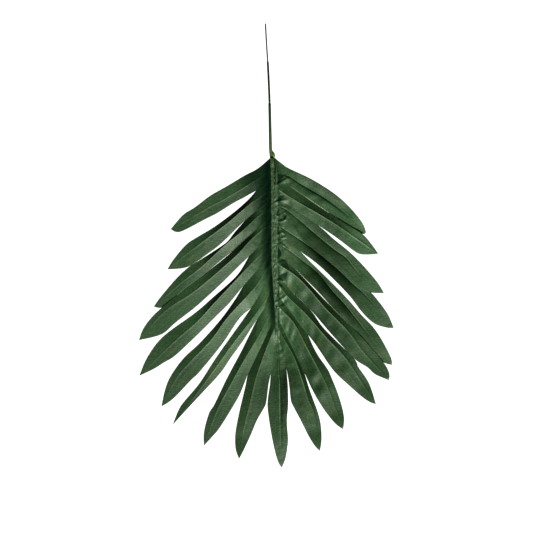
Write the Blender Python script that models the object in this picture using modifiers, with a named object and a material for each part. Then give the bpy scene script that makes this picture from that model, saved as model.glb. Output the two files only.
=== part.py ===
"""Artificial palm leaf, lying face up: one sheet of pressed and die-cut cloth on a moulded stem.

The stem points along +Y, the leaflets' front faces look along +Z, and the leaf rests on Z = 0.
Nineteen leaflets run round the midrib: nine down the left side, one at the tip, nine up the right.
"""

import bmesh
import bpy
from mathutils import Vector

# Every length below is in millimetres, and MM turns it into metres.
MM = 0.001

CLOTH_THICKNESS = 0.7

# How far the cloth's heights below come down once the leaf lies on a table.
CLOTH_SETTLING = 0.25

# The cutting die opens each cut by this much to either side where the cut starts.
CUT_OPENING = 0.4

# The midrib's channel in the cloth: Y, centre X, half width and height of its top.
MIDRIB = (
    (79.0, 5.5, 2.1, 4.2),
    (64.0, 6.9, 2.6, 5.1),
    (45.0, 7.2, 2.8, 5.5),
    (-15.0, 7.4, 2.8, 5.5),
    (-49.0, 8.5, 1.6, 5.2),
    (-78.0, 9.5, 0.6, 4.8),
)
MIDRIB_CROWN = 0.15

# Y where each leaflet's edges and creases meet the midrib: edge, crease, edge, crease and so on.
ROOT_ROWS = (
    79.0, 66.5, 58.5, 50.5, 42.5, 35.0, 27.0, 18.5, 10.0, 1.5,
    -7.5, -16.5, -25.5, -34.5, -44.5, -54.5, -64.5, -72.5, -78.0,
)  # fmt: skip

# Beside the midrib the cloth falls into a gutter before the leaflets' folds begin.
GUTTER_OUT = 8.4
GUTTER_RUN_MOST = 14.0
GUTTER_SHARE_MOST = 0.8
GUTTER_HEIGHT = 1.2
FLANK_MIDDLE = 0.3

# Stations along every leaflet, and columns across it from one edge by the crease to the other.
STEPS = 14
GUTTER_STEP = 2
COLUMNS = (-1.0, -0.5, 0.0, 0.5, 1.0)
SPLINE_STEPS = 8

# How much of a crease's height stands at each station from the midrib to the tip. A rooted crease
# stays high up to the midrib, and the others rise beyond the gutter.
CREASE_SHARE = (0, 0, 0, 0.65, 1, 1, 1, 1, 1, 1, 0.9, 0.65, 0.3, 0.1, 0)
ROOTED_SHARE = (0, 0.8, 0.8, 0.9, 1, 1, 1, 1, 1, 1, 0.9, 0.65, 0.3, 0.1, 0)

# Leaflets in order round the leaf. Each has the edge that faces the leaflet before it, the crease,
# the edge that faces the next one, the tip, the heights of first edge, crease, second edge and
# tip, and whether its crease is rooted. Edges start at the cuts below, and creases at the midrib.
LEAFLETS = (
    {
        "first": ((-8, 69.5), (-19.5, 63.3), (-35, 54), (-50.7, 45), (-64.2, 34.8), (-75.2, 27.7)),
        "crease": ((-1, 64.5), (-35, 43.5), (-50.5, 35.5), (-65, 27)),
        "second": ((-19.5, 43.5), (-30, 38.2), (-44.5, 29.2), (-55.5, 23.6), (-74.5, 13.7), (-81.5, 12.3)),
        "tip": (-86.3, 15),
        "heights": (2.6, 4.6, 3.6, 1.6),
        "rooted": False,
    },
    {
        "first": ((-15.5, 42.6), (-28.4, 30.9), (-46.4, 17.4), (-61, 8.5), (-72.2, 1.1), (-83.8, -12.4)),
        "crease": ((-13, 39), (-24.5, 29.5), (-37.5, 18.5), (-66.5, -3)),
        "second": ((-40, 2.7), (-51.5, -6.3), (-70.5, -19)),
        "tip": (-89.3, -21.4),
        "heights": (1.0, 5.2, 2.8, 1.6),
        "rooted": False,
    },
    {
        "first": ((-28.5, 12.5), (-35, 4), (-44.5, -3), (-60, -13), (-71, -20), (-82.5, -31), (-96, -47)),
        "crease": ((-7.5, 26.5), (-21.5, 13.5), (-37.5, 0.5), (-59, -19.5), (-76.5, -33)),
        "second": ((-57.5, -27), (-75.5, -40.5), (-92.5, -55.2)),
        "tip": (-101.6, -55),
        "heights": (1.0, 5.2, 3.0, 2.6),
        "rooted": False,
    },
    {
        "first": ((-57.5, -26.7), (-75.5, -40.3), (-92.5, -54.3), (-103.3, -64.4), (-111.2, -75)),
        "crease": ((-3, 15), (-15.5, 4), (-29, -10.5), (-63.5, -40), (-91, -58.5)),
        "second": ((-28.5, -22.5), (-42.2, -35.7), (-63.5, -55), (-82, -69.5), (-94.5, -80)),
        "tip": (-115, -85.3),
        "heights": (1.0, 5.4, 2.8, 2.0),
        "rooted": False,
    },
    {
        "first": ((-24, -23.5), (-33, -33.2), (-47.5, -46), (-64.5, -60.8), (-93, -81.8), (-107.2, -100.2)),
        "crease": ((-3, -6), (-13, -15.5), (-46.5, -51), (-63.5, -69.5), (-81, -84.5)),
        "second": ((-33, -51.6), (-45, -63.3), (-61.8, -80), (-82, -99), (-92, -105.2), (-101.5, -111.2)),
        "tip": (-114.7, -117.4),
        "heights": (1.0, 5.2, 2.8, 1.6),
        "rooted": False,
    },
    {
        "first": ((-29.5, -50.2), (-42, -67.5), (-60, -87.7), (-74.7, -101.5), (-86, -117), (-91.3, -129.5)),
        "crease": ((0, -21), (-10, -37), (-35, -64.5), (-50.5, -85.5), (-78.5, -115.5)),
        "second": ((-25, -67), (-40.5, -89.5), (-60.4, -114), (-68, -121.3), (-84, -138)),
        "tip": (-94.8, -145.3),
        "heights": (1.0, 5.4, 2.8, 1.6),
        "rooted": False,
    },
    {
        "first": ((-27.5, -75.5), (-46.7, -103), (-60.3, -124), (-73.7, -140), (-78.4, -146.6), (-82, -155)),
        "crease": ((1.5, -45.5), (-9.5, -61.5), (-31, -89.5), (-48, -113), (-64.5, -135.5)),
        "second": ((-19.3, -83.7), (-32.3, -101.4), (-41.8, -115.3), (-60, -135), (-74, -150)),
        "tip": (-84.5, -161.6),
        "heights": (1.0, 3.8, 2.8, 2.4),
        "rooted": False,
    },
    {
        "first": ((-17.3, -84.3), (-23, -96), (-35.9, -120.3), (-46.8, -143), (-51.8, -151.2), (-56.3, -168)),
        "crease": ((1.5, -65.5), (-6.5, -80.5), (-18.5, -100.5), (-30.5, -121.5), (-44, -147)),
        "second": ((-22.6, -131.5), (-28.8, -142.8), (-41.9, -164), (-48.8, -172.3)),
        "tip": (-56.4, -180.5),
        "heights": (1.0, 5.2, 3.0, 1.6),
        "rooted": False,
    },
    {
        "first": ((-20.7, -133.3), (-24.2, -149), (-27, -163), (-28.2, -173), (-27.6, -184)),
        "crease": ((3.5, -83.5), (-4, -103), (-10, -121.5), (-15.5, -144.5), (-20, -162.5)),
        "second": ((2.1, -126), (-0.1, -141), (-1.6, -145.4), (-8.5, -157.5), (-13.6, -169.6), (-19.8, -183)),
        "tip": (-24.6, -192.4),
        "heights": (1.2, 5.0, 2.6, 1.4),
        "rooted": True,
    },
    {
        "first": ((2.8, -126), (1.2, -139), (1.4, -149), (4.6, -170.5), (8.1, -187), (11, -196)),
        "crease": ((10.5, -83), (11, -104), (12.5, -133), (13, -167)),
        "second": ((19.4, -125), (19.6, -143.5), (18.5, -158), (19.5, -174), (18.9, -182), (17.2, -192)),
        "tip": (14, -200.6),
        "heights": (2.8, 4.8, 1.6, 1.2),
        "rooted": True,
    },
    {
        "first": ((20.5, -127), (22.2, -140), (24.2, -144.7), (31.1, -157.7), (38, -171.5), (43.8, -180.7)),
        "crease": ((15.5, -83.5), (25.5, -101.5), (33, -123), (38, -139.5), (43.5, -152.5)),
        "second": ((38.9, -129.3), (42.8, -140.3), (46.6, -151), (49.1, -162), (49.7, -175)),
        "tip": (48.3, -185.3),
        "heights": (3.2, 5.0, 1.2, 1.4),
        "rooted": True,
    },
    {
        "first": ((40.7, -129.1), (51.4, -146.9), (61.5, -159.8)),
        "crease": ((17, -61), (26, -71.5), (38, -94.5), (50.5, -118), (59, -137)),
        "second": ((46.1, -97.8), (55.5, -111.9), (58.7, -119), (63.6, -131), (68.1, -145), (70.1, -156)),
        "tip": (69.2, -165.7),
        "heights": (2.4, 5.0, 1.8, 1.6),
        "rooted": True,
    },
    {
        "first": ((44.3, -89.5), (49, -96.3), (61.1, -113.2), (76.4, -127.7), (86.4, -136.5), (94, -141.4)),
        "crease": ((20, -46.5), (36.5, -62.5), (53.5, -82), (73, -103.5)),
        "second": ((39.3, -57.3), (49.7, -72), (60, -83), (79.3, -102), (82.8, -109.3), (92.6, -124.2)),
        "tip": (98.8, -143),
        "heights": (3.2, 5.2, 1.0, 1.6),
        "rooted": True,
    },
    {
        "first": ((39.5, -57.6), (55.1, -75.7), (62, -83.4), (79, -101.7), (91.3, -109.9), (98, -116)),
        "crease": ((26.5, -27), (39.5, -40), (53, -56), (74, -77.5), (86.5, -94.5)),
        "second": ((44, -40), (62.9, -59.3), (86.9, -83.6), (104.6, -103.8), (110.8, -115)),
        "tip": (110.4, -121.3),
        "heights": (2.8, 5.0, 1.0, 1.6),
        "rooted": True,
    },
    {
        "first": ((44.6, -39.6), (62.5, -59.2), (86.5, -83.8), (104.3, -103.9), (108.2, -106.5)),
        "crease": ((18.5, -3), (32, -13), (47, -25), (59, -40), (72.5, -55), (88.5, -76)),
        "second": ((48.1, -22.5), (70.9, -45.6), (85.9, -62.6), (95.7, -72.8), (103.5, -84), (112.4, -101)),
        "tip": (113.4, -107.7),
        "heights": (5.0, 1.4, 3.4, 3.0),
        "rooted": False,
    },
    {
        "first": ((48, -18.4), (61.5, -31.2), (75.5, -45.8), (86, -59.6), (97, -70), (108.5, -74)),
        "crease": ((17, 14), (39.5, -1), (63.5, -20.5), (77.5, -34), (90, -45.5)),
        "second": ((32.7, 6.6), (46, -2.5), (64.5, -16.5), (82.5, -31.5), (95, -42.8), (108.7, -60.4)),
        "tip": (115, -74.2),
        "heights": (3.2, 1.3, 1.0, 2.2),
        "rooted": False,
    },
    {
        "first": ((39.5, -0.5), (63.5, -20), (77.5, -33), (86.5, -39.5), (95, -42.4)),
        "crease": ((17, 33), (31, 22), (45.5, 9.5), (62, -4), (72.5, -11.5), (84.5, -26.5)),
        "second": ((53.8, 12.6), (60.4, 6.4), (78.8, -9.2), (98.4, -30.7)),
        "tip": (106.2, -42.8),
        "heights": (4.6, 1.5, 3.4, 3.4),
        "rooted": False,
    },
    {
        "first": ((54.2, 13.1), (62, 8), (68.7, 3.1), (78.5, -4.4), (85, -7.8), (95, -7.9)),
        "crease": ((12.5, 49.5), (26.5, 40.5), (41.5, 32), (61.5, 20), (77, 9.5)),
        "second": ((39.5, 41), (56.5, 29.5), (71, 20), (86.5, 10.6), (95.2, 0.9)),
        "tip": (101, -7.2),
        "heights": (2.8, 4.8, 1.0, 2.0),
        "rooted": True,
    },
    {
        "first": ((39.5, 40.5), (56.5, 29), (71, 20), (86, 10.8)),
        "crease": ((21.5, 62), (30.5, 56), (53.5, 42.5), (73.5, 27)),
        "second": ((13.5, 74.5), (20.5, 69.6), (41.1, 59.7), (60.8, 47.3), (75, 34.8), (86.6, 20.6)),
        "tip": (90, 12),
        "heights": (3.8, 1.6, 3.4, 3.2),
        "rooted": False,
    },
)

# Where the cut between two neighbouring leaflets starts: point, station and height.
CUTS = (
    ((-9.5, 49.5), 3, 1.2),
    ((-20, 22), 4, 1.2),
    ((-31, -5.5), 5, 1.2),
    ((-16, -10), 4, 1.2),
    ((-21, -36.5), 4, 1.2),
    ((-14, -56.5), 4, 1.2),
    ((-8.5, -66.5), 4, 1.4),
    ((-17, -116.5), 6, 1.4),
    ((4, -115.5), 5, 1.6),
    ((18, -110.5), 5, 1.6),
    ((34.5, -115), 7, 1.4),
    ((37.7, -80.5), 5, 1.4),
    ((22, -40.5), 3, 1.4),
    ((26.5, -21.5), 3, 1.8),
    ((31, -5.5), 3, 2.0),
    ((25, 17), 3, 2.2),
    ((46.5, 18.5), 6, 2.4),
    ((22, 53), 3, 1.8),
)

# The moulded stem under the midrib: Y, centre X, half width, height and height of the wire in it.
STEM = (
    (128.5, 2.9, 1.15, 2.3, 1.15),
    (114.0, 3.2, 1.15, 2.4, 1.2),
    (100.0, 3.5, 1.25, 2.6, 1.3),
    (88.0, 3.75, 1.35, 2.9, 1.4),
    (79.0, 4.4, 1.35, 3.0, 1.5),
    (71.0, 5.8, 1.5, 3.4, 1.6),
    (62.0, 6.8, 1.6, 3.9, 1.8),
    (50.0, 7.2, 1.7, 4.3, 2.0),
    (18.0, 7.3, 1.7, 4.3, 2.0),
    (-15.0, 7.4, 1.7, 4.3, 2.0),
    (-35.0, 8.0, 1.4, 4.0, 1.9),
    (-52.0, 8.6, 1.0, 3.4, 1.6),
    (-70.0, 9.3, 0.6, 2.4, 1.2),
)
# One section of the stem, flat below, as shares of its half width and its height.
STEM_SECTION = (
    (-0.6, 0.0), (0.6, 0.0), (0.92, 0.16), (1.0, 0.42), (0.9, 0.7), (0.62, 0.91),
    (0.22, 1.0), (-0.22, 1.0), (-0.62, 0.91), (-0.9, 0.7), (-1.0, 0.42), (-0.92, 0.16),
)  # fmt: skip
BORE_RADIUS = 0.62
BORE_END = -35.0

# The wire beyond the stem: Y, centre X and height of its axis.
WIRE_BEYOND = (
    (200.6, -0.8, 0.56),
    (190.0, -0.3, 0.62),
    (178.0, 0.4, 0.75),
    (166.0, 1.2, 0.88),
    (155.0, 1.8, 1.0),
    (142.0, 2.4, 1.08),
    (129.0, 2.88, 1.15),
)
WIRE_RADIUS = 0.5
COATING_BORE = 0.58
COATING_THICKNESS = 0.22

BEAD_CENTRE = (6.95, 82.6, 2.0)
BEAD_HALF_SIZES = (1.1, 2.8, 1.5)
BEAD_TURN = 0.12

LEAF_GREEN = (0.07, 0.13, 0.06)
STEM_GREEN = (0.05, 0.1, 0.04)
COATING_GREEN = (0.012, 0.028, 0.01)
WIRE_GREY = (0.16, 0.18, 0.15)
BEAD_GREEN = (0.12, 0.24, 0.03)


def clear_scene():
    for thing in list(bpy.data.objects):
        bpy.data.objects.remove(thing, do_unlink=True)


def make_material(name, colour, roughness, metallic=0.0):
    material = bpy.data.materials.new(name)
    material.use_nodes = True
    shader = material.node_tree.nodes["Principled BSDF"]
    shader.inputs["Base Color"].default_value = (*colour, 1.0)
    shader.inputs["Roughness"].default_value = roughness
    shader.inputs["Metallic"].default_value = metallic
    return material


def read_table(table, y):
    """The row of a table of falling Y values at this Y, between its rows."""
    for above, below in zip(table, table[1:]):
        if y >= below[0]:
            share = min(1.0, (above[0] - y) / (above[0] - below[0]))
            return [a + (b - a) * share for a, b in zip(above[1:], below[1:])]
    return list(table[-1][1:])


def smooth_path(points):
    """A smooth line through every point, as many short straight ones."""
    ends = [points[0], *points, points[-1]]
    path = []
    for a, b, c, d in zip(ends, ends[1:], ends[2:], ends[3:]):
        for step in range(SPLINE_STEPS):
            t = step / SPLINE_STEPS
            path.append(
                b
                + (c - a) * (t / 2)
                + (2 * a - 5 * b + 4 * c - d) * (t**2 / 2)
                + (3 * b - a - 3 * c + d) * (t**3 / 2)
            )
    return [*path, points[-1]]


def lengths_along(path):
    runs = [0.0]
    for a, b in zip(path, path[1:]):
        runs.append(runs[-1] + (b - a).length)
    return runs


def point_at(path, run):
    runs = lengths_along(path)
    for i in range(len(path) - 1):
        if run <= runs[i + 1]:
            return path[i].lerp(path[i + 1], (run - runs[i]) / (runs[i + 1] - runs[i]))
    return path[-1]


def gutter_run(path):
    """How far along a line from the midrib the gutter lies."""
    runs = lengths_along(path)
    most = min(GUTTER_RUN_MOST, GUTTER_SHARE_MOST * runs[-1])
    for point, run in zip(path, runs):
        if abs(point.x - path[0].x) >= GUTTER_OUT:
            return min(run, most)
    return most


def stations(path, first, last, start=0.0):
    """Points evenly spaced along a path, after station first and up to station last."""
    whole = lengths_along(path)[-1]
    count = last - first
    return [point_at(path, start + (whole - start) * (i + 1) / count) for i in range(count)]


def line_from_midrib(root, through, tip, cut=None):
    """The plan of one edge or crease: its point at every station."""
    if cut is None:
        path = smooth_path([root, *through, tip])
        gutter = gutter_run(path)
        plan = stations(path, GUTTER_STEP, STEPS, gutter)
    else:
        start, step, _ = cut
        path = [root, Vector(start)]
        gutter = gutter_run(path)
        plan = stations(path, GUTTER_STEP, step, gutter)
        plan += stations(smooth_path([Vector(start), *through, tip]), step, STEPS)
    return [root, point_at(path, gutter / GUTTER_STEP), point_at(path, gutter), *plan]


def edge_heights(rail, edge, tip, cut=None):
    """The height of an edge at every station: down the flank, along the edge, then to the tip."""
    gutter = GUTTER_HEIGHT
    heights = [rail, gutter + (rail - gutter) * FLANK_MIDDLE, gutter]
    step, height = (cut[1], cut[2]) if cut else (GUTTER_STEP, gutter)
    for i in range(GUTTER_STEP + 1, step + 1):
        heights.append(gutter + (height - gutter) * (i - GUTTER_STEP) / (step - GUTTER_STEP))
    rise_end, fall_start = step + 2, STEPS - 3
    for i in range(step + 1, STEPS + 1):
        if i <= rise_end:
            heights.append(height + (edge - height) * (i - step) / (rise_end - step))
        elif i <= fall_start:
            heights.append(edge)
        else:
            heights.append(edge + (tip - edge) * (i - fall_start) / (STEPS - fall_start))
    return heights


def root_point(side, row):
    """Where a line meets the midrib: side is -1 on the left, 1 on the right and 0 on the crown."""
    y = ROOT_ROWS[row]
    x, half, height = read_table(MIDRIB, y)
    return Vector((x + side * half, y)), height


def leaflet_roots(index):
    """The roots of a leaflet's first edge, crease and second edge."""
    side_count = len(LEAFLETS) // 2
    last_row = len(ROOT_ROWS) - 1
    if index < side_count:
        return [root_point(-1, 2 * index + i) for i in range(3)]
    if index == side_count:
        return [root_point(side, last_row) for side in (-1, 0, 1)]
    row = 2 * (len(LEAFLETS) - index)
    return [root_point(1, row - i) for i in range(3)]


def open_cut(edge, crease, cut):
    """Draw an edge back towards its crease over the first stations of its cut."""
    if cut is None:
        return
    for i, share in ((cut[1] + 1, 1.0), (cut[1] + 2, 0.5)):
        edge[i] = edge[i] + (crease[i] - edge[i]).normalized() * CUT_OPENING * share


def leaflet_points(index):
    """Rows of points over one leaflet, each row from its first edge by the crease to its second."""
    leaflet = LEAFLETS[index]
    first_cut = CUTS[index - 1] if index > 0 else None
    second_cut = CUTS[index] if index < len(CUTS) else None
    tip = Vector(leaflet["tip"])
    roots = leaflet_roots(index)
    lines = []
    for key, (root, _), cut in zip(("first", "crease", "second"), roots, (first_cut, None, second_cut)):
        lines.append(line_from_midrib(root, [Vector(p) for p in leaflet[key]], tip, cut))
    open_cut(lines[0], lines[1], first_cut)
    open_cut(lines[2], lines[1], second_cut)
    first_height, crease_height, second_height, tip_height = leaflet["heights"]
    first = edge_heights(roots[0][1], first_height, tip_height, first_cut)
    second = edge_heights(roots[2][1], second_height, tip_height, second_cut)
    shares = ROOTED_SHARE if leaflet["rooted"] else CREASE_SHARE
    rows = []
    for i in range(STEPS):
        level = (first[i] + second[i]) / 2
        crease = level + (crease_height - level) * shares[i]
        if i == 0:
            crease = roots[1][1]
        ends = [lines[0][i].to_3d(), lines[1][i].to_3d(), lines[2][i].to_3d()]
        ends[0].z, ends[1].z, ends[2].z = first[i], crease, second[i]
        row = []
        for column in COLUMNS:
            row.append(ends[1].lerp(ends[0] if column < 0 else ends[2], abs(column)))
        rows.append(row)
    return rows, Vector((tip.x, tip.y, tip_height))


def add_quad(sheet, corners):
    """A four-sided patch as two triangles, split along its shorter diagonal."""
    a, b, c, d = corners
    if (a.co - c.co).length <= (b.co - d.co).length:
        triangles = ((a, b, c), (a, c, d))
    else:
        triangles = ((b, c, d), (b, d, a))
    for triangle in triangles:
        sheet.faces.new(triangle)


def add_grid(sheet, rows):
    """A patch of cloth through rows of points that all have the same count."""
    grid = [[sheet.verts.new(point * MM) for point in row] for row in rows]
    for upper, lower in zip(grid, grid[1:]):
        for i in range(len(upper) - 1):
            add_quad(sheet, (upper[i], lower[i], lower[i + 1], upper[i + 1]))
    return grid


def add_leaflet(sheet, index):
    rows, tip = leaflet_points(index)
    grid = add_grid(sheet, rows)
    point = sheet.verts.new(tip * MM)
    for a, b in zip(grid[-1], grid[-1][1:]):
        sheet.faces.new((a, point, b))


def midrib_rows():
    """Rows across the channel over the midrib, from the left leaflets' roots to the right ones'."""
    side_count = len(LEAFLETS) // 2
    left, right = [], []
    for k in range(side_count):
        left_row = leaflet_points(k)[0][0]
        right_row = leaflet_points(len(LEAFLETS) - 1 - k)[0][0][::-1]
        start = 0 if k == 0 else 1
        left += left_row[start:]
        right += right_row[start:]
    rows = []
    for a, b in zip(left, right):
        row = [a.lerp(b, i / (len(COLUMNS) - 1)) for i in range(len(COLUMNS))]
        for i in range(1, len(COLUMNS) - 1):
            row[i].z += MIDRIB_CROWN
        rows.append(row)
    end_row = leaflet_points(side_count)[0][0]
    rows[-1] = end_row
    return rows


def build_blade():
    sheet = bmesh.new()
    for index in range(len(LEAFLETS)):
        add_leaflet(sheet, index)
    add_grid(sheet, midrib_rows())
    bmesh.ops.remove_doubles(sheet, verts=sheet.verts, dist=0.00001)
    bmesh.ops.recalc_face_normals(sheet, faces=sheet.faces)
    if sum(face.normal.z for face in sheet.faces) < 0:
        bmesh.ops.reverse_faces(sheet, faces=sheet.faces)
    mesh = bpy.data.meshes.new("leaf_blade")
    sheet.to_mesh(mesh)
    sheet.free()
    blade = bpy.data.objects.new("leaf_blade", mesh)
    solidify = blade.modifiers.new("cloth thickness", "SOLIDIFY")
    solidify.thickness = CLOTH_THICKNESS * MM
    solidify.offset = -1.0
    solidify.use_even_offset = True
    blade.location.z = -CLOTH_SETTLING * MM
    blade.data.materials.append(make_material("pressed green cloth", LEAF_GREEN, 0.55))
    return blade


def ring(sheet, y, points):
    return [sheet.verts.new((x * MM, y * MM, z * MM)) for x, z in points]


def join_rings(sheet, rings):
    for a, b in zip(rings, rings[1:]):
        for i in range(len(a)):
            j = (i + 1) % len(a)
            sheet.faces.new((a[i], a[j], b[j], b[i]))


def bore_ring(row):
    """The wire's hole in one section of the stem, with a point facing each point of the section."""
    _, x, half, height, axis = row
    points = []
    for across, up in STEM_SECTION:
        out = Vector((across * half, up * height - axis)).normalized() * BORE_RADIUS
        points.append((x + out.x, axis + out.y))
    return points


def build_stem():
    """The moulded stem, round where it shows and a flat-backed rib under the cloth."""
    stem = bmesh.new()
    outer = []
    inner = []
    for row in STEM:
        y, x, half, height, _ = row
        outer.append(ring(stem, y, [(x + across * half, up * height) for across, up in STEM_SECTION]))
        if y >= BORE_END:
            inner.append(ring(stem, y, bore_ring(row)))
    join_rings(stem, outer)
    join_rings(stem, inner)
    join_rings(stem, (inner[0], outer[0]))
    stem.faces.new(inner[-1])
    stem.faces.new(outer[-1])
    bmesh.ops.triangulate(stem, faces=stem.faces)
    bmesh.ops.recalc_face_normals(stem, faces=stem.faces)
    mesh = bpy.data.meshes.new("stem_sleeve")
    stem.to_mesh(mesh)
    stem.free()
    sleeve = bpy.data.objects.new("stem_sleeve", mesh)
    sleeve.data.materials.append(make_material("green stem plastic", STEM_GREEN, 0.45))
    return sleeve


def wire_points():
    """The wire's axis from its free end to its end inside the stem."""
    points = [(x, y, z) for y, x, z in WIRE_BEYOND]
    for y, x, _, _, axis in STEM:
        if y > BORE_END:
            points.append((x, y, axis))
    last = [v for v in read_table(STEM, BORE_END + 1.0)]
    points.append((last[0], BORE_END + 1.0, last[3]))
    return points


def line_object(name, points, radius, caps):
    curve = bpy.data.curves.new(name, "CURVE")
    curve.dimensions = "3D"
    curve.bevel_depth = radius * MM
    curve.bevel_resolution = 2
    curve.use_fill_caps = caps
    spline = curve.splines.new("POLY")
    spline.points.add(len(points) - 1)
    for target, point in zip(spline.points, points):
        target.co = (*(v * MM for v in point), 1.0)
    return bpy.data.objects.new(name, curve)


def build_wire():
    wire = line_object("stem_wire", wire_points(), WIRE_RADIUS, True)
    wire.data.materials.append(make_material("bare steel wire", WIRE_GREY, 0.5, 0.6))
    return wire


def build_coating():
    """The thin plastic skin over the middle stretch of the wire, open at both ends."""
    covered = [(x, y, z) for y, x, z in WIRE_BEYOND if y <= 166.0]
    coating = line_object("wire_coating", covered, COATING_BORE, False)
    solidify = coating.modifiers.new("skin thickness", "SOLIDIFY")
    solidify.thickness = COATING_THICKNESS * MM
    solidify.offset = 1.0
    coating.data.materials.append(make_material("dark green coating", COATING_GREEN, 0.45))
    return coating


def build_bead():
    """The bead of glue that holds the cloth's end against the stem."""
    bead = bmesh.new()
    bmesh.ops.create_uvsphere(bead, u_segments=12, v_segments=8, radius=MM)
    mesh = bpy.data.meshes.new("glue_bead")
    bmesh.ops.scale(bead, vec=BEAD_HALF_SIZES, verts=bead.verts)
    bead.to_mesh(mesh)
    bead.free()
    mesh.shade_smooth()
    drop = bpy.data.objects.new("glue_bead", mesh)
    drop.location = [v * MM for v in BEAD_CENTRE]
    drop.rotation_euler.z = BEAD_TURN
    drop.data.materials.append(make_material("yellow green glue", BEAD_GREEN, 0.35))
    return drop


def main():
    clear_scene()
    collection = bpy.data.collections.new("palm leaf")
    bpy.context.scene.collection.children.link(collection)
    for build in (build_blade, build_stem, build_wire, build_coating, build_bead):
        collection.objects.link(build())


main()
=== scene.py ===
"""Looks of an artificial palm leaf that lies face up on a pale table, seen from straight above."""

import math

import bmesh
import bpy
from mathutils import Matrix, Vector, noise


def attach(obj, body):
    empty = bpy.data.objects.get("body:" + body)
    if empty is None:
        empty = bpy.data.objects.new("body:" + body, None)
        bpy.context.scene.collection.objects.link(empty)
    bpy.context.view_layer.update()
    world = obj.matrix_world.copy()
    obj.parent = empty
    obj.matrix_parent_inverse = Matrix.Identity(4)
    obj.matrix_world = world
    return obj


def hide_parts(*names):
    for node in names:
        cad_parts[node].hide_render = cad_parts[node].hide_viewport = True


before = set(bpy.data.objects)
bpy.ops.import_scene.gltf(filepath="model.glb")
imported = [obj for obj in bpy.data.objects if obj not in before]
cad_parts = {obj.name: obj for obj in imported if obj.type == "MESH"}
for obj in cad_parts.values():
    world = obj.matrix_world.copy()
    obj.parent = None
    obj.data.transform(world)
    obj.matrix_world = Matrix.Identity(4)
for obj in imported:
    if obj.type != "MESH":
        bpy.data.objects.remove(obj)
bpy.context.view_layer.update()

# Bare stem wire: a drawn steel wire, cut to length with side cutters, dull and grey. It runs down
# inside the moulded stem, and its free end is a little bent from handling.
# Sizes are in millimetres, and from the table on in metres.
MM = 0.001
WIRE_RADIUS = 0.62
WIRE_SIDES = 16
WIRE_END_SHARE = 0.8
WIRE_STEPS = 8
WIRE_LINE = (
    (-0.8, 200.55, 0.56),
    (-0.3, 190.0, 0.62),
    (0.4, 178.0, 0.75),
    (1.2, 166.0, 0.88),
    (1.8, 155.0, 1.0),
    (2.4, 142.0, 1.08),
    (2.88, 129.0, 1.15),
    (3.2, 114.0, 1.2),
    (3.5, 100.0, 1.3),
    (3.75, 88.0, 1.4),
    (5.8, 71.0, 1.6),
    (7.2, 50.0, 2.0),
    (7.35, 0.0, 2.0),
    (7.9, -33.0, 1.9),
)
STEEL_GREY = (0.075, 0.092, 0.068, 1)
STEEL_DARK = (0.02, 0.026, 0.018, 1)


def smooth_path(points, steps):
    """A smooth line through every point, as many short straight ones."""
    ends = [points[0], *points, points[-1]]
    path = []
    for a, b, c, d in zip(ends, ends[1:], ends[2:], ends[3:]):
        for step in range(steps):
            t = step / steps
            bend = (2 * a - 5 * b + 4 * c - d) * (t**2 / 2) + (3 * b - a - 3 * c + d) * (t**3 / 2)
            path.append(b + (c - a) * (t / 2) + bend)
    return [*path, points[-1]]


def round_ring(mesh, centre, along, radius, sides):
    """A ring of points round a line at one place on it."""
    across = along.cross(Vector((0, 0, 1))).normalized()
    up = across.cross(along).normalized()
    ring = []
    for i in range(sides):
        turn = math.tau * i / sides
        spot = centre + (across * math.cos(turn) + up * math.sin(turn)) * radius
        ring.append(mesh.verts.new(spot * MM))
    return ring


def join_rings(mesh, rings):
    for a, b in zip(rings, rings[1:]):
        for i in range(len(a)):
            j = (i + 1) % len(a)
            mesh.faces.new((a[i], a[j], b[j], b[i]))


def finish_mesh(name, mesh):
    """Turn a built mesh into an object with its faces outward."""
    bmesh.ops.recalc_face_normals(mesh, faces=mesh.faces)
    data = bpy.data.meshes.new(name)
    mesh.to_mesh(data)
    mesh.free()
    data.shade_smooth()
    thing = bpy.data.objects.new(name, data)
    bpy.context.scene.collection.objects.link(thing)
    return thing


def directions(path):
    spread = [path[0], *path, path[-1]]
    return [(b - a).normalized() for a, b in zip(spread, spread[2:])]


wire_mesh = bmesh.new()
wire_path = smooth_path([Vector(p) for p in WIRE_LINE], WIRE_STEPS)
wire_rings = []
for i, (spot, along) in enumerate(zip(wire_path, directions(wire_path))):
    radius = WIRE_RADIUS * (WIRE_END_SHARE if i == 0 else 1.0)
    wire_rings.append(round_ring(wire_mesh, spot, along, radius, WIRE_SIDES))
join_rings(wire_mesh, wire_rings)
wire_mesh.faces.new(wire_rings[0])
wire_mesh.faces.new(wire_rings[-1])
wire = finish_mesh("bare_stem_wire", wire_mesh)


def new_material(name):
    """An empty node material and its shader."""
    material = bpy.data.materials.new(name)
    material.use_nodes = True
    tree = material.node_tree
    return material, tree, tree.nodes["Principled BSDF"]


def add_node(tree, kind, **settings):
    node = tree.nodes.new(kind)
    for key, value in settings.items():
        setattr(node, key, value)
    return node


steel, tree, shader = new_material("dull steel")
shader.inputs["Metallic"].default_value = 0.25
shader.inputs["Roughness"].default_value = 0.7
shader.inputs["Specular IOR Level"].default_value = 0.3
spots = add_node(tree, "ShaderNodeTexNoise")
spots.inputs["Scale"].default_value = 160
greys = add_node(tree, "ShaderNodeMix", data_type="RGBA")
greys.inputs["A"].default_value = STEEL_GREY
greys.inputs["B"].default_value = STEEL_DARK
position = add_node(tree, "ShaderNodeTexCoord")
tree.links.new(position.outputs["Object"], spots.inputs["Vector"])
tree.links.new(spots.outputs["Fac"], greys.inputs["Factor"])
tree.links.new(greys.outputs["Result"], shader.inputs["Base Color"])
wire.data.materials.append(steel)
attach(wire, "root")
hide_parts("stem_wire")

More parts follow.
